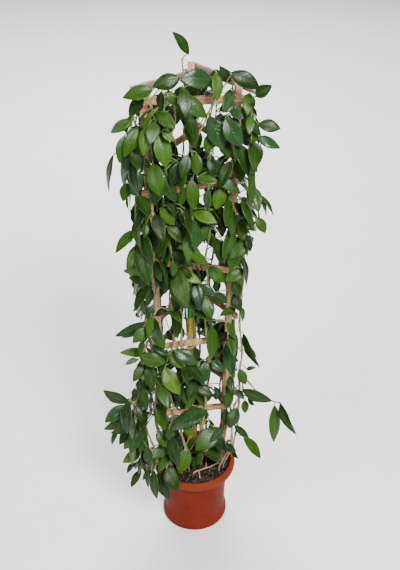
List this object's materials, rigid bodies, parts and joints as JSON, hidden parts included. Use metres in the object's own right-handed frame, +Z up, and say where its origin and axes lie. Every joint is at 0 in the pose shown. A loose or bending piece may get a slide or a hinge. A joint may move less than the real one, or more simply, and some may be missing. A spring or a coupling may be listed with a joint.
{
  "type": "potted hoya plant",
  "caption": "Climbing hoya in a terracotta-coloured pot, its glossy leafy stems trained round a tall wooden trellis tower.",
  "frame": {"origin": "middle of the pot's flat base", "axes": "+Z up along the tower, front of the tower towards -Y, +X to the right seen from the front"},
  "size_m": [0.4926, 0.344, 1.3142],
  "materials": {
    "terracotta": "moulded, slightly glossy",
    "soil": "loose and crumbly",
    "wood": "sawn, unfinished",
    "grey_wood": "sawn, weathered grey",
    "string": "twisted string",
    "cane": "painted in bands",
    "dry_stem": "bare bark",
    "leaf": "waxy leaf"
  },
  "bodies": {
    "root": {"pot": "terracotta", "soil": "soil", "post_left": "wood", "post_right": "wood", "post_back": "wood", "slat_front_1": "wood", "slat_front_2": "wood", "slat_front_3": "wood", "slat_front_4": "wood", "slat_front_5": "wood", "slat_right_1": "wood", "slat_right_2": "wood", "slat_right_3": "wood", "slat_right_4": "wood", "slat_left_1": "wood", "slat_left_2": "wood", "slat_left_3": "wood", "slat_left_4": "wood", "slat_left_5": "wood", "slat_right_5": "grey_wood", "tie_left_1": "string", "tie_left_2": "string", "tie_right_1": "string", "tie_right_2": "string", "tie_right_3": "string", "tie_right_4": "string", "tie_back_1": "string", "tie_back_2": "string", "cane": "cane", "bare_stems": "dry_stem", "stem_left_low": "leaf", "stem_left_high": "leaf", "stem_left_post": "leaf", "stem_middle_left": "leaf", "stem_middle": "leaf", "stem_middle_right": "leaf", "stem_right_post": "leaf", "stem_right_high": "leaf", "stem_right_arch": "leaf", "stem_side_1": "leaf", "stem_side_2": "leaf", "stem_side_3": "leaf", "stem_side_4": "leaf", "stem_side_5": "leaf", "stem_side_6": "leaf", "stem_side_7": "leaf", "stem_side_8": "leaf"}
  },
  "joints": []
}
